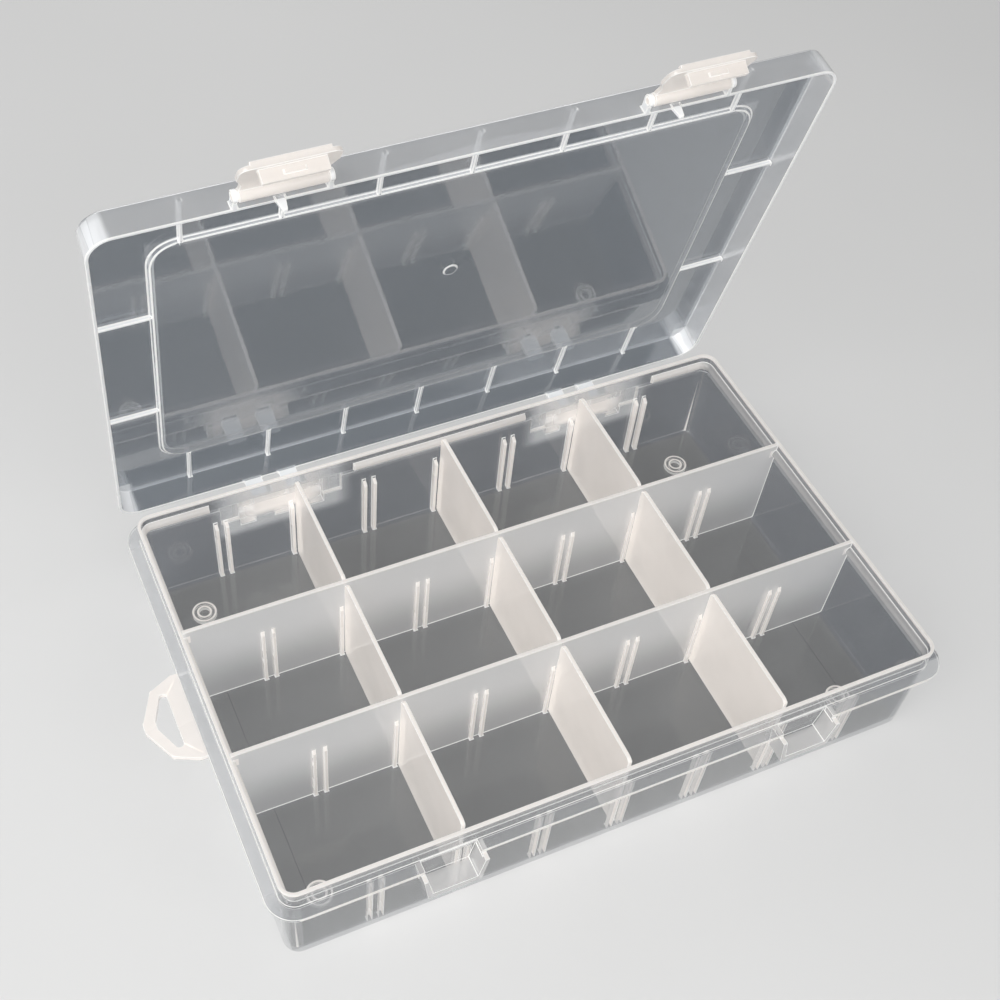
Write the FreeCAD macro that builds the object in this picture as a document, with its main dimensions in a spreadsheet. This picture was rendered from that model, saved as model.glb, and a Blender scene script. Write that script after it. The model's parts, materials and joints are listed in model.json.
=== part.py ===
import FreeCAD, Part
import os
import re
import Sketcher

# A clear hinged organizer box: a tray with two moulded row walls, nine lift-out dividers,
# a lid on two snap hinges and two latches. Millimetres, +Z up, X along the box, hinges at +Y.
# The lid and the latches are drawn shut and then turned to the open pose.
SIZES = {
    "tray_length": "265.3",  # over the rim
    "tray_width": "174",
    "tray_height": "50.3",  # underside to rim
    "wall_thick": "1.3",
    "wall_lean": "0.5",  # how far each wall leans in from rim to underside
    "floor_thick": "1.9",
    "corner_round": "6",
    "base_round": "2.2",
    "floor_round": "0.9",
    "ring_inset": "19",  # rim face to the centre of a moulded ring in the underside
    "ring_outer": "4.7",
    "ring_inner": "2.7",
    "ring_depth": "0.5",
    "flange_drop": "8.9",  # rim to the top of the flange
    "flange_thick": "1.5",
    "flange_reach": "4.9",
    "bead_drop": "5.6",  # rim to the middle of the inside bead
    "bead_height": "4",
    "bead_proud": "1.6",
    "bead_round_share": "0.45",  # of the bead's height
    "bead_break": "62.9",  # length without a bead at each hinge
    "row_wall": "1.5",
    "row_drop": "0.6",  # rim to the top of a row wall
    "station_spacing": "32.8",  # divider places along the box
    "station_count": "7",
    "rib_width": "1.5",
    "rib_slot": "2.9",
    "rib_proud": "1.2",
    "rib_grip": "0.8",  # how far a divider's edge reaches between two ribs on the outer walls
    "rib_drop": "15.4",
    "rib_point": "2",
    "divider_thick": "1.6",
    "divider_drop": "0.7",
    "divider_round": "2.5",
    "divider_foot_round": "1.4",
    "end_gap": "0.3",  # divider to wall
    "floor_gap": "0.2",  # divider to floor
    "hanger_thick": "2.2",
    "hanger_half": "18.9",
    "hanger_cheek": "2.7",
    "hanger_shoulder": "11.7",
    "hanger_shoulder_half": "14.6",
    "hanger_reach": "18",
    "hanger_tip_half": "1.8",
    "hanger_shift": "1.8",  # towards the front
    "hanger_root": "6.4",
    "hanger_hole_half": "11.8",
    "hanger_hole_cheek": "2.4",
    "hanger_band": "4.8",
    "hanger_round": "1.2",
    "hinge_station": "71.1",
    "hinge_drop": "19.9",  # rim to hinge axis
    "hinge_setback": "4.5",  # rim face to hinge axis
    "knuckle_radius": "3.3",
    "knuckle_width": "6.6",
    "knuckle_spacing": "15.1",
    "pin_radius": "1.6",
    "pin_slack": "0.08",
    "pin_mouth": "2.5",  # snap-in slot under each knuckle
    "pad_length": "53",
    "pad_drop": "19.1",
    "arm_boss": "2.6",
    "arm_thick": "2.5",
    "arm_slack": "0.4",
    "lid_overhang": "3.15",
    "lid_seat": "0.3",  # flange to the lid's free edge
    "lid_height": "11.8",
    "lid_lean": "0.3",
    "lid_wall": "1.3",
    "lid_panel": "1.4",
    "lid_round": "1.4",
    "lid_inside_round": "0.8",
    "frame_inset": "21.2",  # lid face to the stepped frame
    "frame_step": "1.2",
    "frame_slope": "0.9",
    "frame_round": "14",
    "frame_wall": "1.4",
    "lid_rib_spacing": "34.3",
    "lid_rib_width": "1.2",
    "lid_rib_height": "1.5",
    "side_rib_half": "30.4",
    "gate_radius": "2.7",
    "gate_height": "0.3",
    "gate_shift": "13.9",  # towards the front
    "lug_width": "3.4",
    "lug_length": "4.4",
    "lug_station": "70.6",
    "lug_shift": "2.7",
    "lug_tip_share": "0.5",  # of the lug's width
    "lid_angle": "77",  # degrees open, as photographed
    "latch_station": "72.4",
    "latch_angle": "68",  # degrees open, as photographed
    "pivot_reach": "4.8",  # lid face to latch pivot
    "pivot_rise": "1.2",  # lid's free edge to latch pivot
    "ear_radius": "2.2",
    "ear_thick": "1.8",
    "ear_half": "15.8",  # latch middle to the middle of an ear
    "barrel_radius": "2.3",
    "barrel_slack": "0.3",
    "pivot_radius": "1.2",
    "pivot_slack": "0.08",
    "latch_length": "20.2",
    "latch_thick": "1.6",
    "latch_root_half": "14.3",
    "latch_tip_half": "16.5",
    "latch_flare": "6.3",  # from the pivot to where the plate starts to widen
    "latch_flare_end": "11.8",
    "latch_round": "3.5",
    "latch_face_gap": "0.5",  # plate to catch
    "lip_height": "2",
    "lip_proud": "1",
    "hook_half": "10.9",
    "hook_reach": "4.5",
    "hook_thick": "2",
    "hook_gap": "0.3",
    "hook_bar_half": "3.5",
    "hook_bar_height": "0.5",
    "hook_bar_share": "0.3",  # of the hook's reach, at each side of its middle line
    "catch_reach": "8",
    "catch_drop": "24.2",
    "catch_top_half": "12.4",
    "catch_foot_half": "10.3",
    "catch_arm": "1.7",
    "catch_shelf": "3",
    "notch_root": "0.4",  # of flange left against the wall in a notch
    "overrun": "1",  # how far a cutting shape runs past a face
}
TINY = 1e-6

doc = FreeCAD.newDocument("organizer_box")
sheet = doc.addObject("Spreadsheet::Sheet", "sizes")
for line, (alias, text) in enumerate(SIZES.items(), 1):
    sheet.set("A%d" % line, text)
    sheet.setAlias("A%d" % line, alias)
doc.recompute()


def bound(text):
    """The expression with each size's name pointing at its cell."""
    return re.sub(r"[a-z_]+", lambda m: ("sizes." if m.group(0) in SIZES else "") + m.group(0), text)


def size(alias):
    return float(sheet.get(alias))


def bind(thing, values):
    for target, text in values.items():
        thing.setExpression(target, bound(text))


def sketch_on(body, name, plane, offset):
    sketch = body.newObject("Sketcher::SketchObject", name)
    base = [f for f in body.Origin.OriginFeatures if f.Role == plane + "_Plane"][0]
    sketch.AttachmentSupport = [(base, "")]
    sketch.MapMode = "FlatFace"
    bind(sketch, {"AttachmentOffset.Base.z": offset})
    return sketch


def draw(sketch, corners):
    """Adds a closed outline whose every corner is held by the sheet."""
    first = sketch.GeometryCount
    count = len(corners)
    rough = [FreeCAD.Vector(i, i * i, 0) for i in range(count)]
    for i in range(count):
        sketch.addGeometry(Part.LineSegment(rough[i], rough[(i + 1) % count]), False)
    for i in range(count):
        after = first + (i + 1) % count
        sketch.addConstraint(Sketcher.Constraint("Coincident", first + i, 2, after, 1))
    for i, corner in enumerate(corners):
        for kind, text in zip(("DistanceX", "DistanceY"), corner):
            held = Sketcher.Constraint(kind, -1, 1, first + i, 1, getattr(rough[i], kind[-1].lower()))
            name = "corner_%d_%s" % (first + i, kind[-1])
            sketch.renameConstraint(sketch.addConstraint(held), name)
            bind(sketch, {"Constraints." + name: text})


def pad_up(body, name, sketch, length, both_ways):
    pad = body.newObject("PartDesign::Pad", name)
    pad.Profile = sketch
    pad.Midplane = both_ways
    bind(pad, {"Length": length})
    doc.recompute()
    return pad


def names_of(kind, pieces, wanted):
    return ["%s%d" % (kind, i) for i, piece in enumerate(pieces, 1) if wanted(piece)]


def upright(edge):
    ends = [v.Point for v in edge.Vertexes]
    return len(ends) == 2 and abs(ends[0].z - ends[1].z) > (ends[0] - ends[1]).Length / 2


def level(edge, height):
    return all(abs(v.Z - height) < TINY for v in edge.Vertexes)


def round_off(body, name, base, radius, wanted):
    fillet = body.newObject("PartDesign::Fillet", name)
    fillet.Base = (base, names_of("Edge", base.Shape.Edges, wanted))
    bind(fillet, {"Radius": radius})
    doc.recompute()
    return fillet


def rectangle(half_x, half_y):
    near_x, near_y = "-(%s)" % half_x, "-(%s)" % half_y
    return [(near_x, near_y), (half_x, near_y), (half_x, half_y), (near_x, half_y)]


def block(name, half_x, half_y, low, high, corner, lean="0", widens=False, soft="", soft_top=False):
    """A block with rounded corners, as wide as stated at its low end, its sides leaning by lean."""
    body = doc.addObject("PartDesign::Body", name)
    sketch = sketch_on(body, name + "_outline", "XY", low)
    draw(sketch, rectangle(half_x, half_y))
    doc.recompute()
    tip = pad_up(body, name + "_pad", sketch, "(%s)-(%s)" % (high, low), False)
    if lean != "0":
        faces = tip.Shape.Faces
        draft = body.newObject("PartDesign::Draft", name + "_draft")
        draft.Base = (tip, names_of("Face", faces, lambda f: abs(f.normalAt(0, 0).z) < TINY))
        draft.NeutralPlane = (tip, names_of("Face", faces, lambda f: f.normalAt(0, 0).z < -TINY))
        draft.Reversed = widens
        bind(draft, {"Angle": "atan((%s)/((%s)-(%s)))" % (lean, high, low)})
        doc.recompute()
        tip = draft
    tip = round_off(body, name + "_corners", tip, corner, upright)
    if soft:
        heights = [v.Z for v in tip.Shape.Vertexes]
        end = max(heights) if soft_top else min(heights)
        tip = round_off(body, name + "_soft", tip, soft, lambda e: level(e, end))
    body.Tip = tip
    return body


def prism(name, plane, outlines, low, high):
    """Outlines drawn on an origin plane and padded from low to high along that plane's normal."""
    body = doc.addObject("PartDesign::Body", name)
    middle = "((%s)+(%s))/2" % (low, high)
    sketch = sketch_on(body, name + "_outline", plane, "-" + middle if plane == "XZ" else middle)
    for outline in outlines:
        draw(sketch, outline)
    doc.recompute()
    body.Tip = pad_up(body, name + "_pad", sketch, "(%s)-(%s)" % (high, low), True)
    return body


def box(name, x, y, z):
    thing = doc.addObject("Part::Box", name)
    for axis, side, (low, high) in zip("xyz", ("Length", "Width", "Height"), (x, y, z)):
        bind(thing, {side: "(%s)-(%s)" % (high, low), "Placement.Base." + axis: low})
    return thing


def rod(name, radius, x, y, z):
    """A cylinder along X between the two values of x."""
    thing = doc.addObject("Part::Cylinder", name)
    thing.Placement = FreeCAD.Placement(FreeCAD.Vector(), FreeCAD.Rotation(FreeCAD.Vector(0, 1, 0), 90))
    bind(thing, {"Radius": radius, "Height": "(%s)-(%s)" % (x[1], x[0])})
    bind(thing, {"Placement.Base.x": x[0], "Placement.Base.y": y, "Placement.Base.z": z})
    return thing


def post(name, radius, x, y, z):
    """A cylinder along Z between the two values of z."""
    thing = doc.addObject("Part::Cylinder", name)
    bind(thing, {"Radius": radius, "Height": "(%s)-(%s)" % (z[1], z[0])})
    bind(thing, {"Placement.Base.x": x, "Placement.Base.y": y, "Placement.Base.z": z[0]})
    return thing


def fuse(name, things):
    whole = doc.addObject("Part::MultiFuse", name)
    whole.Shapes = things
    whole.Refine = True
    return whole


def cut(name, base, tool):
    rest = doc.addObject("Part::Cut", name)
    rest.Base = base
    rest.Tool = tool
    rest.Refine = True
    return rest


def about(middle, half):
    return ("(%s)-(%s)" % (middle, half), "(%s)+(%s)" % (middle, half))


SIDES = (("left", "-"), ("right", "+"))
PAIR = (("low", "-"), ("high", "+"))
HALF_X = "tray_length/2"
HALF_Y = "tray_width/2"
FOOT_Y = "(tray_width/2-wall_lean)"  # outer wall face at the underside
FLANGE_TOP = "(tray_height-flange_drop)"
FLANGE_LOW = "(tray_height-flange_drop-flange_thick)"
EDGE_X = "(tray_length/2+flange_reach)"
EDGE_Y = "(tray_width/2+flange_reach)"
HINGE_Y = "(tray_width/2+hinge_setback)"
HINGE_Z = "(tray_height-hinge_drop)"
PAD_Y = "(tray_width/2+hinge_setback-arm_boss-arm_slack)"
# The dividers clear both the foot of the wall and the bead above it.
ROOM_Y = ("min(tray_width/2-wall_thick-wall_lean;"
          "tray_width/2-wall_thick-wall_lean*bead_drop/tray_height-bead_proud)")
DIVIDER_END = "(%s-end_gap)" % ROOM_Y
# The row walls stand where all nine dividers come out equally long.
ROW_Y = "((%s+row_wall/2)/3)" % ROOM_Y
DIVIDER_HALF = "(%s-row_wall)/3-end_gap" % ROOM_Y
DIVIDER_SHIFT = "2*(%s+row_wall/2)/3" % ROOM_Y
LID_X = "(tray_length/2+lid_overhang)"
LID_Y = "(tray_width/2+lid_overhang)"
LID_LOW = "(tray_height-flange_drop+lid_seat)"
LID_TOP = "(tray_height-flange_drop+lid_seat+lid_height)"
PIVOT_Y = "-(tray_width/2+lid_overhang+pivot_reach)"
PIVOT_Z = "(tray_height-flange_drop+lid_seat+pivot_rise)"
CATCH_LOW = "(tray_height-catch_drop)"
CATCH_Y = "(tray_width/2+catch_reach)"


def wall_at(half, height):
    """Where the leaning inner wall face stands at a height."""
    return "(%s-wall_thick-wall_lean*(tray_height-(%s))/tray_height)" % (half, height)


# Tray, outside: shell, flange, hanging loop, catches, hinge pads and knuckles.
solid = [
    block("shell", HALF_X + "-wall_lean", FOOT_Y, "0", "tray_height", "corner_round",
          "wall_lean", True, "base_round"),
    block("flange", EDGE_X, EDGE_Y, FLANGE_LOW, FLANGE_TOP, "corner_round+flange_reach"),
]

tip_x = "-(%s+hanger_reach)" % EDGE_X
shoulder_x = "-(%s+hanger_shoulder)" % EDGE_X
cheek_x = "-(%s+hanger_cheek)" % EDGE_X
eye_tip_x = "-(%s+hanger_reach-hanger_band)" % EDGE_X
eye_cheek_x = "-(%s+hanger_root+hanger_hole_cheek)" % EDGE_X
eye_root_x = "-(%s+hanger_root)" % EDGE_X
loop = []
eye = []
for text in ("%s-hanger_shift", "-(%s)-hanger_shift"):
    half_loop = [("-" + HALF_X, text % "hanger_half"), (cheek_x, text % "hanger_half"),
                 (shoulder_x, text % "hanger_shoulder_half"), (tip_x, text % "hanger_tip_half")]
    half_eye = [(eye_root_x, text % "hanger_hole_half"), (eye_cheek_x, text % "hanger_hole_half"),
                (eye_tip_x, text % "hanger_tip_half")]
    loop += half_loop if not loop else half_loop[::-1]
    eye += half_eye if not eye else half_eye[::-1]
hanger = prism("hanger", "XY", [loop, eye], FLANGE_TOP + "-hanger_thick", FLANGE_TOP)
root_edge = hanger.Shape.BoundBox.XMax - TINY
hanger.Tip = round_off(hanger, "hanger_soft", hanger.Tip, "hanger_round",
                       lambda e: upright(e) and e.Vertexes[0].X < root_edge)
solid.append(hanger)

notches = []
for side, sign in SIDES:
    at = sign + "latch_station"
    low_in = "(catch_foot_half-catch_arm)"
    top_in = "(catch_top_half-catch_arm)"
    shelf = CATCH_LOW + "+catch_shelf"
    cradle = [(at + "-catch_top_half", FLANGE_LOW), (at + "-catch_foot_half", CATCH_LOW),
              (at + "+catch_foot_half", CATCH_LOW), (at + "+catch_top_half", FLANGE_LOW),
              (at + "+" + top_in, FLANGE_LOW), (at + "+" + low_in, shelf),
              (at + "-" + low_in, shelf), (at + "-" + top_in, FLANGE_LOW)]
    solid.append(prism("catch_" + side, "XZ", [cradle], "-" + CATCH_Y, "-" + FOOT_Y))
    notches.append(box("catch_notch_" + side, about(at, top_in),
                       ("-(%s+overrun)" % EDGE_Y, "-(%s+notch_root)" % HALF_Y),
                       (FLANGE_LOW + "-overrun", FLANGE_TOP + "+overrun")))

    at = sign + "hinge_station"
    solid.append(box("pad_" + side, about(at, "pad_length/2"), (FOOT_Y, PAD_Y),
                     ("tray_height-pad_drop", FLANGE_TOP)))
    for place, shift in (("low", "-knuckle_spacing"), ("middle", ""), ("high", "+knuckle_spacing")):
        across = about(at + shift, "knuckle_width/2")
        tag = "%s_%s" % (side, place)
        solid.append(box("knuckle_web_" + tag, across, (FOOT_Y, HINGE_Y),
                         (HINGE_Z + "-knuckle_radius", FLANGE_TOP)))
        solid.append(rod("knuckle_" + tag, "knuckle_radius", across, HINGE_Y, HINGE_Z))
    span = about(at, "knuckle_spacing+knuckle_width/2+overrun")
    notches.append(rod("bore_" + side, "pin_radius+pin_slack", span, HINGE_Y, HINGE_Z))
    notches.append(box("mouth_" + side, span, about(HINGE_Y, "pin_mouth/2"),
                       (HINGE_Z + "-knuckle_radius-overrun", HINGE_Z)))
    for place, shift in PAIR:
        notches.append(box("arm_notch_%s_%s" % (side, place),
                           about(at + shift + "knuckle_spacing/2", "(knuckle_spacing-knuckle_width)/2"),
                           (PAD_Y, HINGE_Y + "+knuckle_radius+overrun"),
                           (HINGE_Z + "-knuckle_radius-overrun", FLANGE_TOP + "+overrun")))

# Tray, inside: the hollow, less what stays standing in it.
hollow = block("hollow", wall_at(HALF_X, "floor_thick"), wall_at(HALF_Y, "floor_thick"), "floor_thick",
               "tray_height+overrun", "corner_round-wall_thick",
               "wall_lean*(tray_height+overrun-floor_thick)/tray_height", True, "floor_round")

bead_mid = "tray_height-bead_drop"
bead = prism("bead", "XY", [rectangle(HALF_X, HALF_Y),
                            rectangle(wall_at(HALF_X, bead_mid) + "-bead_proud",
                                      wall_at(HALF_Y, bead_mid) + "-bead_proud")],
             *about(bead_mid, "bead_height/2"))
outside = bead.Shape.BoundBox.XMax - TINY
bead.Tip = round_off(bead, "bead_corners", bead.Tip, "corner_round-wall_thick-bead_proud",
                     lambda e: upright(e) and abs(e.Vertexes[0].X) < outside)
bead.Tip = round_off(bead, "bead_soft", bead.Tip, "bead_height*bead_round_share",
                     lambda e: not upright(e) and abs(e.Vertexes[0].X) < outside)
breaks = [box("bead_break_" + side, about(sign + "hinge_station", "bead_break/2"),
              (HALF_Y + "-corner_round", HALF_Y + "+overrun"), about(bead_mid, "bead_height"))
          for side, sign in SIDES]
standing = [cut("bead_broken", bead, fuse("bead_breaks", breaks))]
for side, sign in PAIR:
    standing.append(box("row_wall_" + side, ("-" + HALF_X, HALF_X), about(sign + ROW_Y, "row_wall/2"),
                        ("0", "tray_height-row_drop")))

rib_top = "tray_height-rib_drop"
rib_neck = "tray_height-rib_drop-rib_point"
rib_face = "(%s-rib_grip)" % DIVIDER_END
outlines = []
for sign in "-+":
    wall_rib = [(HALF_Y, "0"), (rib_face, "0"), (rib_face, rib_neck),
                (wall_at(HALF_Y, rib_top), rib_top), (HALF_Y, rib_top)]
    outlines.append([("%s(%s)" % (sign, y), z) for y, z in wall_rib])
    foot = "row_wall/2+rib_proud"
    row_rib = [("-(%s)" % foot, "0"), (foot, "0"), (foot, rib_neck), ("row_wall/2", rib_top),
               ("-row_wall/2", rib_top), ("-(%s)" % foot, rib_neck)]
    outlines.append([("%s%s+%s" % (sign, ROW_Y, y), z) for y, z in row_rib])
ribs = doc.addObject("PartDesign::Body", "ribs")
pads = []
for place, sign in PAIR:
    first = "-station_spacing*(station_count-1)/2%s(rib_slot+rib_width)/2" % sign
    sketch = sketch_on(ribs, "rib_outline_" + place, "YZ", first)
    for outline in outlines:
        draw(sketch, outline)
    doc.recompute()
    pads.append(pad_up(ribs, "rib_" + place, sketch, "rib_width", True))
stations = ribs.newObject("PartDesign::LinearPattern", "rib_stations")
stations.Originals = pads
stations.Direction = ([f for f in ribs.Origin.OriginFeatures if f.Role == "X_Axis"][0], [""])
bind(stations, {"Length": "station_spacing*(station_count-1)", "Occurrences": "station_count"})
ribs.Tip = stations
doc.recompute()
standing.append(ribs)
notches.append(cut("room", hollow, fuse("standing", standing)))

for side_x, sign_x in SIDES:
    for side_y, sign_y in PAIR:
        middle = ("%s(%s-ring_inset)" % (sign_x, HALF_X), "%s(%s-ring_inset)" % (sign_y, HALF_Y))
        tag = "%s_%s" % (side_x, side_y)
        disc = post("ring_disc_" + tag, "ring_outer", *middle, ("-overrun", "ring_depth"))
        core = post("ring_core_" + tag, "ring_inner", *middle, ("-overrun", "ring_depth"))
        notches.append(cut("ring_" + tag, disc, core))
nodes = {"tray": cut("tray", fuse("tray_outside", solid), fuse("tray_cuts", notches))}

# Nine equal dividers; row 1 is at the hinges, column 1 at the hanging loop.
plate = rectangle(DIVIDER_HALF, "(tray_height-divider_drop-floor_thick-floor_gap)/2")
for row, row_shift in enumerate((DIVIDER_SHIFT, "0", "-" + DIVIDER_SHIFT), 1):
    for column, column_shift in enumerate(("-2*station_spacing", "0", "2*station_spacing"), 1):
        name = "divider_r%d_c%d" % (row, column)
        divider = prism(name, "YZ", [plate], "-divider_thick/2", "divider_thick/2")
        for end, radius, name_end in ((1, "divider_round", "_top"), (-1, "divider_foot_round", "_foot")):
            divider.Tip = round_off(divider, name + name_end, divider.Tip, radius, lambda e: (
                abs(e.Vertexes[0].X - e.Vertexes[1].X) > size("divider_thick") / 2
                and end * e.Vertexes[0].Z > size("divider_round")))
        bind(divider, {"Placement.Base.x": column_shift, "Placement.Base.y": row_shift,
                       "Placement.Base.z": "(tray_height-divider_drop+floor_thick+floor_gap)/2"})
        nodes[name] = divider

# Lid, drawn shut: shell, stepped panel, stiffening ribs, hinge arms and pins, latch ears, lugs.
inner_rate = "lid_lean/lid_height"
inner_low = LID_LOW + "-overrun"
inner_top = LID_TOP + "-lid_panel"
inner_lean = "%s*(lid_height-lid_panel+overrun)" % inner_rate
lid_shell = block("lid_shell", LID_X, LID_Y, LID_LOW, LID_TOP, "corner_round+lid_overhang",
                  "lid_lean", False, "lid_round", True)
lid_hollow = block("lid_hollow", "%s-lid_wall+%s*overrun" % (LID_X, inner_rate),
                   "%s-lid_wall+%s*overrun" % (LID_Y, inner_rate), inner_low, inner_top,
                   "corner_round+lid_overhang-lid_wall", inner_lean, False, "lid_inside_round", True)
frame_x = "(%s-frame_inset)" % LID_X
frame_y = "(%s-frame_inset)" % LID_Y
step_low = LID_TOP + "-frame_step-lid_panel"
frame = block("frame", frame_x + "-frame_slope", frame_y + "-frame_slope", step_low, LID_TOP + "-lid_panel",
              "frame_round", "frame_slope", True)
recess = block("recess", frame_x + "-frame_slope-frame_wall", frame_y + "-frame_slope-frame_wall",
               LID_TOP + "-frame_step", LID_TOP + "+overrun", "frame_round-frame_wall",
               "frame_slope*(frame_step+overrun)/frame_step", True)
rib_z = (LID_TOP + "-lid_panel-lid_rib_height", LID_TOP)
kept = [frame]
for k in range(-3, 4):
    at = about("%d*lid_rib_spacing" % k, "lid_rib_width/2")
    kept.append(box("front_rib_%d" % (k + 4), at, ("-" + LID_Y, "-(%s-frame_slope)" % frame_y), rib_z))
    kept.append(box("back_rib_%d" % (k + 4), at, (frame_y + "-frame_slope", LID_Y), rib_z))
for place, sign in PAIR:
    at = about(sign + "side_rib_half", "lid_rib_width/2")
    kept.append(box("left_rib_" + place, ("-" + LID_X, "-(%s-frame_slope)" % frame_x), at, rib_z))
    kept.append(box("right_rib_" + place, (frame_x + "-frame_slope", LID_X), at, rib_z))
kept.append(post("gate", "gate_radius", "0", "-gate_shift", (step_low + "-gate_height", LID_TOP)))
lid_room = cut("lid_room", lid_hollow, fuse("lid_kept", kept))
lid_parts = [cut("lid_body", lid_shell, fuse("lid_cuts", [lid_room, recess]))]

ears = []
ear_bores = []
for side, sign in SIDES:
    at = sign + "hinge_station"
    for place, shift in PAIR:
        across = about(at + shift + "knuckle_spacing/2", "(knuckle_spacing-knuckle_width)/2-arm_slack")
        tag = "%s_%s" % (side, place)
        lid_parts.append(box("arm_" + tag, across, (LID_Y + "-lid_wall", LID_Y + "-lid_wall+arm_thick"),
                             (HINGE_Z, LID_LOW + "+lid_wall")))
        lid_parts.append(rod("arm_boss_" + tag, "arm_boss", across, HINGE_Y, HINGE_Z))
    lid_parts.append(rod("hinge_pin_" + side, "pin_radius", about(at, "knuckle_spacing+knuckle_width/2"),
                         HINGE_Y, HINGE_Z))

    at = sign + "latch_station"
    lug_at = "(%slug_station-lug_shift)" % sign
    lug = [(lug_at + "-lug_width/2", LID_LOW + "+lid_wall"), (lug_at + "-lug_width/2", LID_LOW),
           (lug_at + "-lug_width/2*lug_tip_share", LID_LOW + "-lug_length"),
           (lug_at + "+lug_width/2*lug_tip_share", LID_LOW + "-lug_length"),
           (lug_at + "+lug_width/2", LID_LOW), (lug_at + "+lug_width/2", LID_LOW + "+lid_wall")]
    lid_parts.append(prism("lug_" + side, "XZ", [lug], "-" + LID_Y, "-(%s-lid_wall)" % LID_Y))
    for place, shift in PAIR:
        across = about(at + shift + "ear_half", "ear_thick/2")
        tag = "%s_%s" % (side, place)
        ears.append(box("ear_web_" + tag, across, (PIVOT_Y, "-(%s-lid_wall)" % LID_Y),
                        (LID_LOW, PIVOT_Z + "+ear_radius")))
        ears.append(rod("ear_" + tag, "ear_radius", across, PIVOT_Y, PIVOT_Z))
    ear_bores.append(rod("ear_bore_" + side, "pivot_radius+pivot_slack",
                         about(at, "ear_half+ear_thick/2+overrun"), PIVOT_Y, PIVOT_Z))
lid_parts.append(cut("lid_ears", fuse("ears", ears), fuse("ear_bores", ear_bores)))
nodes["lid"] = fuse("lid", lid_parts)

# Latches, drawn shut: barrel, pivot, flared plate, lip and hook.
plate_in = "-(%s+latch_face_gap)" % CATCH_Y
plate_out = "-(%s+latch_face_gap+latch_thick)" % CATCH_Y
tip_z = PIVOT_Z + "-latch_length"
hook_top = CATCH_LOW + "-hook_gap"
for side, sign in SIDES:
    at = sign + "latch_station"
    tag = "latch_" + side
    steps = [("latch_root_half", PIVOT_Z), ("latch_root_half", PIVOT_Z + "-latch_flare"),
             ("latch_tip_half", PIVOT_Z + "-latch_flare_end"), ("latch_tip_half", tip_z)]
    edges = [(at + "+" + half, z) for half, z in steps] + [(at + "-" + half, z) for half, z in steps[::-1]]
    flap = prism(tag + "_plate", "XZ", [edges], plate_out, plate_in)
    foot = min(v.Z for v in flap.Shape.Vertexes)
    flap.Tip = round_off(flap, tag + "_soft", flap.Tip, "latch_round", lambda e: (
        level(e, foot) and abs(e.Vertexes[0].X - e.Vertexes[1].X) < TINY))
    middle = "(%s+hook_reach/2)" % plate_in
    pieces = [
        flap,
        rod(tag + "_barrel", "barrel_radius", about(at, "ear_half-ear_thick/2-barrel_slack"),
            PIVOT_Y, PIVOT_Z),
        rod(tag + "_pivot", "pivot_radius", about(at, "ear_half+ear_thick/2"), PIVOT_Y, PIVOT_Z),
        box(tag + "_lip", about(at, "latch_tip_half-latch_round"), (plate_out + "-lip_proud", plate_in),
            (tip_z, tip_z + "+lip_height")),
        box(tag + "_hook", about(at, "hook_half"), (plate_out, plate_in + "+hook_reach"),
            (hook_top + "-hook_thick", hook_top)),
        box(tag + "_hook_bar", about(at, "hook_bar_half"), about(middle, "hook_reach*hook_bar_share/2"),
            (hook_top + "-hook_thick-hook_bar_height", hook_top)),
    ]
    nodes[tag] = fuse(tag, pieces)
doc.recompute()

# The open pose: the lid turns about the hinge pins, and each latch about its pivot on the lid.
turn_axis = FreeCAD.Vector(-1, 0, 0)
hinge_y = size("tray_width") / 2 + size("hinge_setback")
hinge_z = size("tray_height") - size("hinge_drop")
pivot_y = -size("tray_width") / 2 - size("lid_overhang") - size("pivot_reach")
pivot_z = size("tray_height") - size("flange_drop") + size("lid_seat") + size("pivot_rise")
hinge = FreeCAD.Vector(0, hinge_y, hinge_z)
pivot = FreeCAD.Vector(0, pivot_y, pivot_z)
lid_turn = FreeCAD.Placement(FreeCAD.Vector(), FreeCAD.Rotation(turn_axis, size("lid_angle")), hinge)
latch_turn = FreeCAD.Placement(FreeCAD.Vector(), FreeCAD.Rotation(turn_axis, size("latch_angle")), pivot)
nodes["lid"].Placement = lid_turn
for side, sign in SIDES:
    nodes["latch_" + side].Placement = lid_turn.multiply(latch_turn)
doc.recompute()

for thing in doc.Objects:
    if "Invalid" in thing.State or "Error" in thing.State:
        raise RuntimeError("%s did not build" % thing.Name)
os.makedirs("parts", exist_ok=True)
for name, node in nodes.items():
    shape = node.Shape
    if shape.isNull() or not shape.isValid() or len(shape.Solids) != 1:
        raise RuntimeError("%s is not one valid solid" % name)
    node.Label = name
    shape.exportStep("parts/%s.step" % name)
    print(name, shape.BoundBox, round(shape.Volume))
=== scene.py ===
import json
import math

import bpy
from mathutils import Matrix, Vector

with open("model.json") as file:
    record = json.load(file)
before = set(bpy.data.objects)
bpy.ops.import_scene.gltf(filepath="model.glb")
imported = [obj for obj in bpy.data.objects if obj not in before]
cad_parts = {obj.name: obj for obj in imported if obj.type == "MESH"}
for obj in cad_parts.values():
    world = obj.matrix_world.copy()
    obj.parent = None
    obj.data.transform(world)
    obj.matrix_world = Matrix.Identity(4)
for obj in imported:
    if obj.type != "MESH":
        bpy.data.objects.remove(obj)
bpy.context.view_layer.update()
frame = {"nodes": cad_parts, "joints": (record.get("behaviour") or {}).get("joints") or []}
nodes = frame["nodes"]
scene = bpy.context.scene

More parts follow.
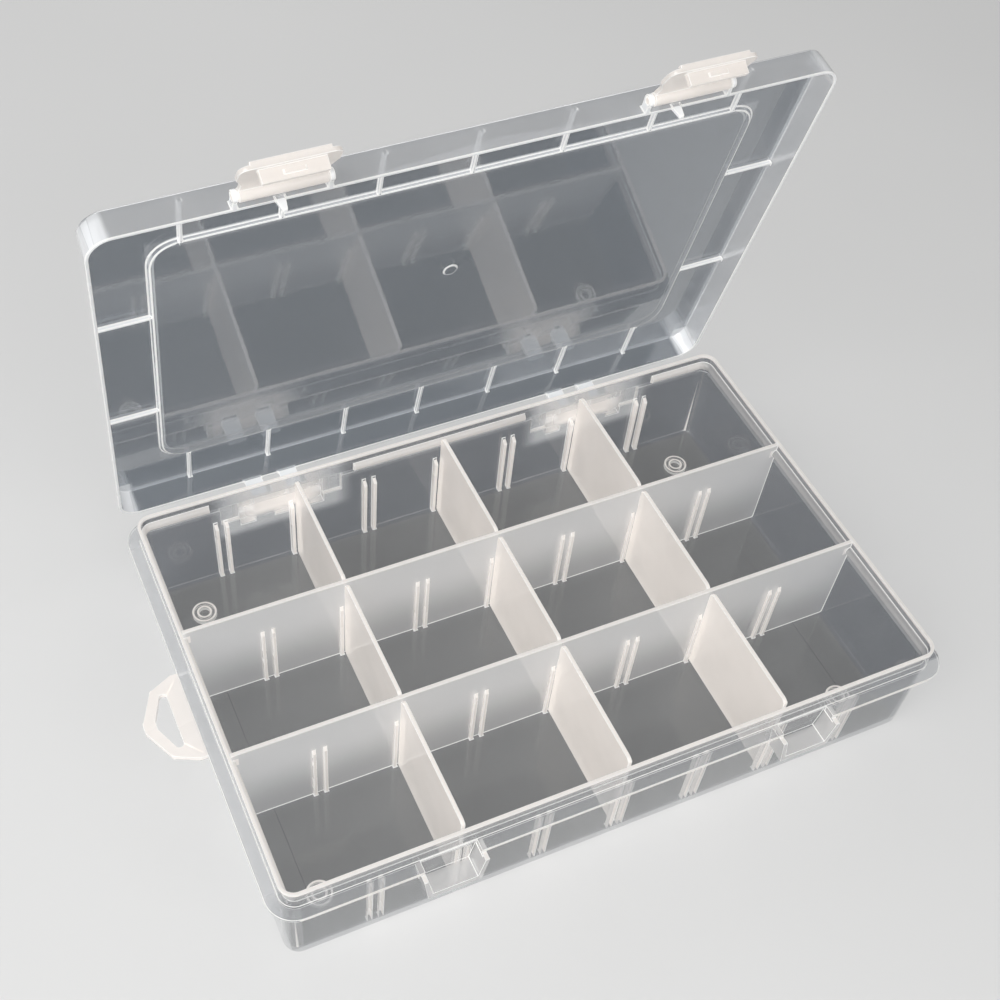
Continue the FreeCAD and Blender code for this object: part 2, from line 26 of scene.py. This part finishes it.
# Places on the box in millimetres, from its middle and its underside, with the lid shut. One half stands
# for both where the two are alike. Tenths added to them below keep a border just off a face.
MM_PER_M = 1000.0
HALF_X, HALF_Y, RIM, RIM_DEEP = 132.65, 87.0, 50.3, 1.15
FLOOR_TOP, WALL, NEAR_WALL = 1.9, 1.3, 1.35
IN_X, IN_Y = HALF_X - WALL, HALF_Y - WALL
ROW_Y, ROW_HALF, RIB_PROUD = 28.26, 0.75, 1.2
WALL_RIB_IN, WALL_RIB_TOP = 82.9, 35.0
FLANGE_LOW, FLANGE_TOP, FLANGE_REACH = 39.9, 41.4, 4.9
FLANGE_X, FLANGE_Y = HALF_X + FLANGE_REACH, HALF_Y + FLANGE_REACH
BEAD_LOW, BEAD_TOP, BEAD_IN = 42.7, 46.7, 4.1
HINGE_X, HINGE_LOW = 71.1, 20.0
PAD_HALF, PAD_LOW, PAD_DEEP = 26.5, 31.2, 2.0
CATCH_X, CATCH_HALF, CATCH_LOW = 72.4, 12.7, 25.0
RING_X, RING_Y, RING_OUTER, RING_INNER, RING_HALF = 113.65, 68.0, 4.7, 2.7, 0.45
LID_X, LID_Y, LID_LOW, LID_TOP = 135.8, 90.15, 41.7, 53.5
LID_WALL, LID_PANEL, LID_CORNER, LID_CREASE = 1.3, 1.4, 9.0, 1.45
LID_IN_X, LID_IN_Y = LID_X - LID_WALL, LID_Y - LID_WALL
FRAME_X, FRAME_Y, FRAME_WIDE = 114.6, 68.95, 2.4
FAR = 400.0

# How milky or cloudy a place is, where the rim is one and a clear pane is none; shares that change by side
# or height, or that whiten the hinge wall and the lid's corners and top edge, are painted light and shade.
HANGER_SHARE, CATCH_SHARE, POCKET_SHARE, HINGE_WALL_PAINTED_GLOW = 0.62, 0.4, 0.2, 0.85
BEAD_SHARE, BEAD_FRONT_PAINTED_SHADE, BEAD_RIGHT_PAINTED_SHADE, BEAD_FADE = 0.9, 0.2, 0.3, 7.0
ROW_LOW_PAINTED_SHADE, ROW_HIGH_PAINTED_LIGHT, ROW_FADE_TOP = 0.72, 1.04, 34.0
BAND_SHARE, BAND_FRONT_PAINTED_SHADE, BAND_BACK_PAINTED_SHADE, BAND_FADE = 0.5, 0.18, 0.6, 9.0
LID_CREASE_HIGHLIGHT, LID_CORNER_HIGHLIGHT, LID_FRAME_SHARE, LID_SKIRT_SHADE_LIFT = 0.8, 0.75, 0.3, 0.5

# Where the hinge's fog starts and where it is full, from the hinge's middle and from the underside. On the
# back wall the fog is painted light, and a patch there is spared the painted shade of the smoky tint.
KNUCKLE_FOG = (PAD_HALF, 13.0)
PAINTED_GLOW_ACROSS, PAINTED_GLOW_UP = (PAD_HALF - 3, 8.0), (PAD_LOW - 3, PAD_LOW + 4)
SHADE_LIFT_ACROSS, SHADE_LIFT_UP = (PAD_HALF + 6, PAD_HALF - 4), (PAD_LOW - 10, PAD_LOW - 5)

# Colours of the plastic itself, then the tints of the light that passes through it to the eye; the darker
# ones are painted shade, as lamp light passes with a plain loss.
WARM = (0.93, 0.89, 0.855, 1)
COOL = (0.91, 0.92, 0.93, 1)
PALE = (0.97, 0.93, 0.895, 1)
CLOUD = (0.89, 0.89, 0.89, 1)
# Painted highlight: the white of the rounded edge strips.
EDGE_HIGHLIGHT_WHITE = (0.97, 0.965, 0.95, 1)
TRAY_GREY = (0.50, 0.51, 0.52, 1)
LID_GREY = (0.48, 0.505, 0.53, 1)
CLEAREST = (0.89, 0.897, 0.905, 1)
# Painted shade: the smoky tints darken what is seen through the floor, the back and right walls, and the
# lid.
PAINTED_SHADE_TINT = (0.63, 0.634, 0.637, 1)
DEEP_PAINTED_SHADE_TINT = (0.54, 0.553, 0.575, 1)
LID_PAINTED_SHADE_TINT = (0.53, 0.555, 0.585, 1)
BARELY_WARM = (0.90, 0.887, 0.87, 1)

# The plastic's surface: waves and grain per millimetre, roughness, and its index of refraction.
CLOUD_SCALE, CLOUD_SPAN, GRAIN_SCALE = 0.026, (0.3, 0.7), 0.9
GRAIN_STRENGTH, GRAIN_HEIGHT = 0.04, 0.0002
BODY_ROUGH, MILKY_ROUGH, PLASTIC_INDEX = 0.35, 0.2, 1.46

# Rounded edges, in metres.
EDGE_WIDTH, WIDE_EDGE = 0.00024, {"lid": 0.00038, "div": 0.00038}
EDGE_ANGLE, EDGE_STEPS, EDGE_SLOT, WELD_REACH = math.radians(38), 2, 1, 1e-6

# The studio and the camera, in metres; the floor lies just under the box.
FLOOR_HALF, FLOOR_LEVEL, FLOOR_SCALE, FLOOR_ROUGH = 3.0, -0.0003, 0.003, 0.85
FLOOR_TONES = (0.62, 0.62, 0.617, 1), (0.67, 0.67, 0.667, 1)
AIM = (0.0, 0.02, 0.08)
SKY_TONE, SKY_STRENGTH = (0.88, 0.88, 0.88, 1), 0.37
SENSOR_MM, LENS_MM, LENS_SHIFT, LENS_CLIP = 36.0, 51.143, (0.06334, 0.04902), (0.01, 50.0)
CAMERA_AT = (-0.18322, -0.27858, 0.49222)
CAMERA_RIGHT, CAMERA_AHEAD = (0.91567, -0.39926, 0.04631), (0.27909, 0.54865, -0.78810)
CLEAR_LAYERS = 48

lid_hinge = next(j for j in frame["joints"] if j["name"] == "lid_hinge")
HINGE = [MM_PER_M * v for v in lid_hinge["pos_m"]]
SHUT = math.radians(lid_hinge["range_deg"][0])


class Tree:
    """A material's node tree, with short calls for the nodes used here."""

    def __init__(self, name):
        self.material = bpy.data.materials.new(name)
        self.material.use_nodes = True
        self.tree = self.material.node_tree
        self.tree.nodes.clear()

    def add(self, kind, inputs=None, **settings):
        node = self.tree.nodes.new(kind)
        for key, value in settings.items():
            setattr(node, key, value)
        for key, value in (inputs or {}).items():
            self.put(node.inputs[key], value)
        return node

    def put(self, socket, value):
        if isinstance(value, bpy.types.NodeSocket):
            self.tree.links.new(value, socket)
        else:
            socket.default_value = value

    def math(self, operation, *values, clamp=False):
        node = self.add("ShaderNodeMath", dict(enumerate(values)), operation=operation, use_clamp=clamp)
        return node.outputs[0]

    def chain(self, operation, values):
        total = values[0]
        for value in values[1:]:
            total = self.math(operation, total, value)
        return total

    def times(self, *shares):
        return self.chain("MULTIPLY", shares)

    def most(self, *shares):
        return self.chain("MAXIMUM", shares)

    def least(self, *shares):
        return self.chain("MINIMUM", shares)

    def without(self, share, other):
        return self.math("SUBTRACT", share, other, clamp=True)

    def off(self, value, middle):
        """How far a value is from a middle one."""
        return self.math("ABSOLUTE", self.math("SUBTRACT", value, middle))

    def vector(self, operation, *values):
        node = self.add("ShaderNodeVectorMath", dict(enumerate(values)), operation=operation)
        return node.outputs[0]

    def ramp(self, value, low, high, out_low=0.0, out_high=1.0, kind="SMOOTHSTEP"):
        inputs = {"Value": value, "From Min": low, "From Max": high, "To Min": out_low, "To Max": out_high}
        return self.add("ShaderNodeMapRange", inputs, interpolation_type=kind).outputs[0]

    def rises(self, value, at, soft=0.15):
        """None below a value and one above it."""
        return self.ramp(value, at - soft, at + soft)

    def falls(self, value, at, soft=0.15):
        """One below a value and none above it."""
        return self.ramp(value, at + soft, at - soft)

    def mix(self, share, one, two):
        return self.add("ShaderNodeMix", {"Factor": share, "A": one, "B": two}).outputs[0]

    def blend(self, share, one, two):
        """A mix of two colours, whose sockets come after those for numbers and vectors."""
        node = self.add("ShaderNodeMix", {"Factor": share}, data_type="RGBA")
        self.put(node.inputs[6], one)
        self.put(node.inputs[7], two)
        return node.outputs[2]

    def noise(self, place, scale, detail=2.0, rough=0.5):
        inputs = {"Vector": place, "Scale": scale, "Detail": detail, "Roughness": rough}
        return self.add("ShaderNodeTexNoise", inputs).outputs["Fac"]

    def place(self):
        """The point on the piece, in millimetres."""
        point = self.add("ShaderNodeTexCoord").outputs["Object"]
        return self.vector("MULTIPLY", point, (MM_PER_M, MM_PER_M, MM_PER_M))

    def fold(self, place):
        """The same point with its left and front halves laid on the right and back ones."""
        return self.vector("ABSOLUTE", place)

    def split(self, place):
        return self.add("ShaderNodeSeparateXYZ", {0: place}).outputs

    def zone(self, place, low, high, soft=0.15):
        """One inside a box and none outside, with a soft border."""
        middle = [(a + b) / 2 for a, b in zip(low, high)]
        half = [(b - a) / 2 for a, b in zip(low, high)]
        from_middle = self.vector("ABSOLUTE", self.vector("SUBTRACT", place, middle))
        past_border = self.split(self.vector("SUBTRACT", from_middle, half))
        return self.falls(self.most(*past_border), 0.0, soft)


def ring_edge_highlights(m, folded):
    """The two round lines near each corner of the underside, painted white as a highlight on the groove
    edges.
    """
    level = m.vector("MULTIPLY", m.vector("SUBTRACT", folded, (RING_X, RING_Y, 0)), (1, 1, 0))
    far = m.add("ShaderNodeVectorMath", {0: level}, operation="LENGTH").outputs["Value"]
    return [m.falls(m.off(far, radius), RING_HALF) for radius in (RING_OUTER, RING_INNER)]


def catch_zones(m, place, back):
    """The two places at the front where the latches catch, as far back as given."""
    return [m.zone(place, (at - CATCH_HALF, -FAR, CATCH_LOW), (at + CATCH_HALF, *back))
            for at in (-CATCH_X, CATCH_X)]


def bead_line(m, place, folded_x, folded_y, to_right, to_back):
    """The bead inside the walls, below the rim, made less white along the front and the right as painted
    shade.
    """
    off_walls = m.least(m.falls(folded_x, IN_X - 0.2, 0.1), m.falls(folded_y, IN_Y - 0.2, 0.1))
    by_walls = m.most(m.rises(folded_x, HALF_X - BEAD_IN, 0.1), m.rises(folded_y, HALF_Y - BEAD_IN, 0.1))
    level = m.zone(place, (-FAR, -FAR, BEAD_LOW - 0.1), (FAR, FAR, BEAD_TOP + 0.1))
    # Painted shade: the bead fades to less white near the front and the right wall.
    front = m.ramp(to_back, -HALF_Y, BEAD_FADE - HALF_Y, BEAD_FRONT_PAINTED_SHADE, 1.0)
    right = m.ramp(to_right, HALF_X - BEAD_FADE, HALF_X, BEAD_SHARE, BEAD_RIGHT_PAINTED_SHADE)
    return m.times(off_walls, by_walls, level, front, right)


def hinge_milk_and_painted_glow(m, folded, off_hinge, z):
    """The knuckles and pads behind the back wall, and a painted glow on the wall in front of them."""
    behind = m.zone(folded, (0, HALF_Y + 0.15, HINGE_LOW), (FAR, FAR, FLANGE_TOP + 0.2))
    knuckles = m.times(behind, m.ramp(off_hinge, *KNUCKLE_FOG))
    # Painted light: the clear back wall before the knuckles is whitened, most up high near the hinge's
    # middle.
    wall = m.zone(folded, (0, IN_Y - 1.2, 0), (FAR, HALF_Y + 0.15, FLANGE_LOW))
    wall = m.times(wall, m.ramp(off_hinge, *PAINTED_GLOW_ACROSS), m.ramp(z, *PAINTED_GLOW_UP))
    pad = m.zone(folded, (HINGE_X - PAD_HALF - 1, HALF_Y, PAD_LOW - 1),
                 (HINGE_X + PAD_HALF + 1, HALF_Y + PAD_DEEP, FLANGE_LOW))
    pad_rim = m.times(pad, m.most(m.falls(z, PAD_LOW + 0.35), m.rises(off_hinge, PAD_HALF - 0.25)))
    return m.most(knuckles, pad_rim, m.times(wall, HINGE_WALL_PAINTED_GLOW))


def rib_zones(m, folded, y):
    """The rib pairs on the row walls and on the front and back walls."""
    reach = ROW_HALF + RIB_PROUD + 0.1
    on_rows = m.zone(folded, (0, ROW_Y - reach, FLOOR_TOP + 0.3), (IN_X - 2, ROW_Y + reach, RIM))
    on_rows = m.times(on_rows, m.rises(m.off(y, ROW_Y), ROW_HALF + 0.1, 0.05))
    on_walls = m.zone(folded, (0, WALL_RIB_IN - 0.2, FLOOR_TOP + 0.3),
                      (HALF_X - 4, IN_Y - 0.7, WALL_RIB_TOP))
    return m.most(on_rows, on_walls)


def tray_zones(m, place):
    """Where the tray is thick and milky, where it is cloudy, and the tint of what it lets through, with
    painted light and shade in its whiteness by side and height and a smoky tint as painted shade.
    """
    folded = m.fold(place)
    x, y, z = m.split(folded)
    to_right, to_back = m.split(place)[:2]
    off_hinge = m.off(x, HINGE_X)
    rim = m.rises(z, RIM - RIM_DEEP, 0.25)
    hanger = m.zone(place, (-FAR, -FAR, 0), (0.2 - FLANGE_X, FAR, FAR))
    lip = m.times(m.most(m.rises(x, FLANGE_X - 0.25, 0.1), m.rises(y, FLANGE_Y - 0.25, 0.1)),
                  m.rises(z, FLANGE_LOW - 0.25))
    hinge = m.times(hinge_milk_and_painted_glow(m, folded, off_hinge, z), m.rises(to_back, 0.5, 0.5))
    catches = m.most(*catch_zones(m, place, (-HALF_Y - 0.4, RIM)))
    bead = bead_line(m, place, x, y, to_right, to_back)
    milky = m.most(rim, m.times(hanger, HANGER_SHARE), bead, lip, hinge, rib_zones(m, folded, y),
                   *ring_edge_highlights(m, folded), m.times(catches, CATCH_SHARE))

    row = m.zone(folded, (0, ROW_Y - ROW_HALF - 0.1, FLOOR_TOP), (IN_X, ROW_Y + ROW_HALF + 0.1, RIM))
    # Painted light and shade: the row walls are whiter up high and less white towards the floor.
    row = m.times(row, m.ramp(z, FLOOR_TOP, ROW_FADE_TOP, ROW_LOW_PAINTED_SHADE, ROW_HIGH_PAINTED_LIGHT))
    in_room = m.least(m.falls(x, IN_X - 0.6, 0.1), m.falls(y, IN_Y - 0.6, 0.1))
    # Painted shade: the cloudy band between flange and rim is less white along the front and the back than
    # along the sides.
    band = m.times(m.without(1.0, in_room), m.zone(place, (-FAR, -FAR, FLANGE_LOW - 0.2), (FAR, FAR, RIM)),
                   m.ramp(to_back, -HALF_Y, BAND_FADE - HALF_Y, BAND_FRONT_PAINTED_SHADE, BAND_SHARE),
                   m.ramp(to_back, HALF_Y - BAND_FADE, HALF_Y, 1.0, BAND_BACK_PAINTED_SHADE))
    pockets = m.most(*catch_zones(m, place, (1.2 - IN_Y, FLANGE_TOP)))
    cloudy = m.most(row, band, m.times(pockets, POCKET_SHARE))

    front, back = m.falls(to_back, NEAR_WALL - IN_Y), m.rises(to_back, IN_Y - NEAR_WALL)
    left, right = m.falls(to_right, NEAR_WALL - IN_X), m.rises(to_right, IN_X - NEAR_WALL)
    # The back wall before the knuckles keeps the clearest tint, lifting the painted shade there.
    shade_lifted_wall = m.times(m.ramp(off_hinge, *SHADE_LIFT_ACROSS), m.ramp(z, *SHADE_LIFT_UP), back)
    # Painted shade: the floor and inner parts take the smoky tint, the back and right walls a deeper one,
    # and the front and left walls the clearest.
    painted_shade_tint = m.blend(m.most(back, right), PAINTED_SHADE_TINT, DEEP_PAINTED_SHADE_TINT)
    return milky, cloudy, m.blend(m.most(front, left, shade_lifted_wall), painted_shade_tint, CLEAREST)


def lid_zones(m, place):
    """The same for the lid, in its shut place, with a painted highlight on its corners and top edge,
    painted light on its skirt and a darker tint on its panel as painted shade.
    """
    turn = {"Vector": place, "Center": HINGE, "Axis": lid_hinge["axis"], "Angle": SHUT}
    shut = m.add("ShaderNodeVectorRotate", turn, rotation_type="AXIS_ANGLE").outputs[0]
    folded = m.fold(shut)
    x, y, z = m.split(folded)
    to_back = m.split(shut)[1]
    inside = m.zone(folded, (0, 0, 0), (LID_IN_X - 0.6, LID_IN_Y - 0.6, LID_TOP - LID_PANEL - 0.2))
    framed = m.zone(folded, (0, 0, 0), (FRAME_X, FRAME_Y, FAR))
    panel = m.zone(folded, (0, 0, 0), (FRAME_X - FRAME_WIDE, FRAME_Y - FRAME_WIDE, FAR))
    ribs = m.without(inside, framed)
    frame_line = m.without(framed, panel)
    outside = m.most(m.rises(y, LID_Y + 0.2, 0.1), m.falls(z, LID_LOW + 0.1, 0.05))
    skirt_painted_light = m.most(m.rises(x, LID_IN_X - 0.55), m.falls(to_back, 0.55 - LID_IN_Y))
    # Painted highlight: the lid's rounded corners and the crease along its top edge are made white.
    corner = m.times(m.rises(x, LID_X - LID_CORNER + 1, 1), m.rises(y, LID_Y - LID_CORNER + 1, 1),
                     m.falls(z, LID_TOP - 0.9, 0.6))
    over_edge = m.math("ADD", z, m.most(m.math("SUBTRACT", x, LID_X), m.math("SUBTRACT", y, LID_Y)))
    crease_highlight = m.rises(over_edge, LID_TOP - LID_CREASE)
    milky = m.most(ribs, outside, m.times(crease_highlight, LID_CREASE_HIGHLIGHT), m.times(corner, LID_CORNER_HIGHLIGHT),
                   m.times(frame_line, LID_FRAME_SHARE))
    # Painted light and shade: the skirt is cloudier and takes a clearer tint than the panel.
    return milky, skirt_painted_light, m.blend(m.times(skirt_painted_light, LID_SKIRT_SHADE_LIFT), LID_PAINTED_SHADE_TINT, CLEAREST)


def divider_zones(m, place):
    """A plate that is alike all over but for its narrow sides."""
    across = m.split(m.add("ShaderNodeTexCoord").outputs["Normal"])[0]
    return m.falls(m.math("ABSOLUTE", across), 0.8, 0.1), 0.0, BARELY_WARM


def all_milky(m, place):
    """A piece that is thick all over."""
    return 1.0, 0.0, BARELY_WARM


def plastic(name, zones, pane, milk, covers, passes, gloss=1.0, rough=(0.05, 0.11), glow=0.4, mottle=0.25):
    """Moulded translucent plastic: panes pass light with a tint, darker for the eye than for lamp light as
    painted shade, and thick places scatter it and read white.
    """
    m = Tree(name)
    place = m.place()
    milky, cloudy, tint = zones(m, place)
    cloud = m.noise(place, CLOUD_SCALE, 3.0)
    grain = m.noise(place, GRAIN_SCALE)
    bump = m.add("ShaderNodeBump", {"Height": grain, "Strength": GRAIN_STRENGTH, "Distance": GRAIN_HEIGHT})

    pane_cover, cloudy_cover, milky_cover = covers
    haze = m.times(m.ramp(cloud, *CLOUD_SPAN, 1 - mottle, 1 + mottle, "LINEAR"), pane_cover)
    cover = m.mix(milky, m.mix(cloudy, haze, cloudy_cover), milky_cover)
    colour = m.blend(milky, m.blend(cloudy, pane, CLOUD), milk)
    body = m.add("ShaderNodeBsdfPrincipled", {"Base Color": colour, "Roughness": BODY_ROUGH,
                                              "Specular IOR Level": 0.0, "Normal": bump.outputs[0]})
    through = m.add("ShaderNodeBsdfTranslucent", {"Color": colour})
    solid = m.add("ShaderNodeMixShader", {0: glow, 1: body.outputs[0], 2: through.outputs[0]})
    # Painted shade where the tint is smoky: what is seen through the pane is darkened.
    clear = m.add("ShaderNodeBsdfTransparent", {"Color": tint})
    sheet = m.add("ShaderNodeMixShader", {0: cover, 1: clear.outputs[0], 2: solid.outputs[0]})

    inner_face = m.add("ShaderNodeNewGeometry").outputs["Backfacing"]
    index = m.ramp(inner_face, 0.0, 1.0, PLASTIC_INDEX, 1.0 / PLASTIC_INDEX, "LINEAR")
    fresnel = m.add("ShaderNodeFresnel", {"IOR": index}).outputs[0]
    shine = m.math("MULTIPLY", fresnel, gloss, clamp=True)
    matt = m.math("MULTIPLY_ADD", milky, MILKY_ROUGH, m.ramp(cloud, *CLOUD_SPAN, *rough, "LINEAR"))
    mirror = m.add("ShaderNodeBsdfGlossy", {"Color": (1, 1, 1, 1), "Normal": bump.outputs[0],
                                            "Roughness": matt})
    top = m.add("ShaderNodeMixShader", {0: shine, 1: sheet.outputs[0], 2: mirror.outputs[0]})

    # Lamp light passes with a plain loss, in place of light that bends and scatters into the box, so a
    # smoky tint seen through a pane is painted shade.
    shade = m.add("ShaderNodeBsdfTransparent", {"Color": (passes, passes, passes, 1)})
    to_lamp = m.add("ShaderNodeLightPath").outputs["Is Shadow Ray"]
    whole = m.add("ShaderNodeMixShader", {0: to_lamp, 1: top.outputs[0], 2: shade.outputs[0]})
    m.add("ShaderNodeOutputMaterial", {"Surface": whole.outputs[0]})
    return m.material


tray_plastic = plastic("clear", tray_zones, TRAY_GREY, WARM, (0.045, 0.60, 0.9), passes=0.92)
lid_plastic = plastic("clear_lid", lid_zones, LID_GREY, COOL, (0.05, 0.30, 0.85), passes=0.95,
                      gloss=2.4, rough=(0.02, 0.05))
frosted = plastic("frosted", divider_zones, PALE, PALE, (0.68, 0.68, 0.92), passes=0.88, mottle=0.07)
latch_plastic = plastic("latch", all_milky, WARM, WARM, (0.7, 0.7, 0.7), passes=0.6)
# Painted highlight: the rounded edge strips are milky white all over.
edge_highlight_plastic = plastic("edge_highlight", all_milky, WARM, EDGE_HIGHLIGHT_WHITE, (0.8, 0.8, 0.85), passes=0.92)


def soften(node, width):
    """Rounds the moulded edges a little; the rounded strips take a milky white material, a painted
    highlight.
    """
    node.data.materials.append(edge_highlight_plastic)
    weld = node.modifiers.new("weld", "WELD")
    weld.merge_threshold = WELD_REACH
    bevel = node.modifiers.new("edges", "BEVEL")
    bevel.limit_method = "ANGLE"
    bevel.angle_limit = EDGE_ANGLE
    bevel.width = width
    bevel.segments = EDGE_STEPS
    bevel.use_clamp_overlap = False
    bevel.material = EDGE_SLOT


for name, node in nodes.items():
    material = {"tray": tray_plastic, "lid": lid_plastic}.get(name, frosted)
    node.material_slots[0].material = latch_plastic if name.startswith("latch") else material
    soften(node, WIDE_EDGE.get(name[:3], EDGE_WIDTH))


def floor_material():
    """Plain pale paper, barely uneven in tone."""
    m = Tree("floor")
    tone = m.blend(m.noise(m.place(), FLOOR_SCALE, 3.0), *FLOOR_TONES)
    paper = m.add("ShaderNodeBsdfPrincipled", {"Base Color": tone, "Roughness": FLOOR_ROUGH})
    m.add("ShaderNodeOutputMaterial", {"Surface": paper.outputs[0]})
    return m.material


mesh = bpy.data.meshes.new("floor")
corners = ((-1, -1), (1, -1), (1, 1), (-1, 1))
mesh.from_pydata([(FLOOR_HALF * a, FLOOR_HALF * b, FLOOR_LEVEL) for a, b in corners], [], [(0, 1, 2, 3)])
floor = bpy.data.objects.new("floor", mesh)
scene.collection.objects.link(floor)
mesh.materials.append(floor_material())


def lamp(name, place, size, power):
    """A soft flat lamp, in watts, turned towards the box."""
    light = bpy.data.lights.new(name, "AREA")
    light.shape = "RECTANGLE"
    light.size, light.size_y = size
    light.energy = power
    piece = bpy.data.objects.new(name, light)
    piece.location = place
    piece.rotation_euler = (Vector(AIM) - Vector(place)).to_track_quat("-Z", "Y").to_euler()
    scene.collection.objects.link(piece)


lamp("key", (-1.0, -0.6, 1.1), size=(0.9, 0.9), power=21.0)
lamp("fill", (0.4, -1.3, 0.8), size=(1.2, 0.9), power=7.5)
lamp("back", (0.2, 1.3, 1.0), size=(1.4, 0.7), power=6.0)

world = bpy.data.worlds.new("studio")
scene.world = world
world.use_nodes = True
sky = world.node_tree.nodes["Background"]
sky.inputs["Color"].default_value = SKY_TONE
sky.inputs["Strength"].default_value = SKY_STRENGTH

lens = bpy.data.cameras.new("camera")
lens.sensor_width = SENSOR_MM
lens.lens = LENS_MM
lens.shift_x, lens.shift_y = LENS_SHIFT
lens.clip_start, lens.clip_end = LENS_CLIP
camera = bpy.data.objects.new("camera", lens)
ahead = Vector(CAMERA_AHEAD).normalized()
up = Vector(CAMERA_RIGHT).normalized().cross(ahead).normalized()
right = ahead.cross(up).normalized()
turn = Matrix((right, up, -ahead)).transposed().to_4x4()
camera.matrix_world = Matrix.Translation(CAMERA_AT) @ turn
scene.collection.objects.link(camera)
scene.camera = camera

scene.view_settings.view_transform = "Standard"
scene.cycles.transparent_max_bounces = CLEAR_LAYERS

bpy.context.view_layer.update()
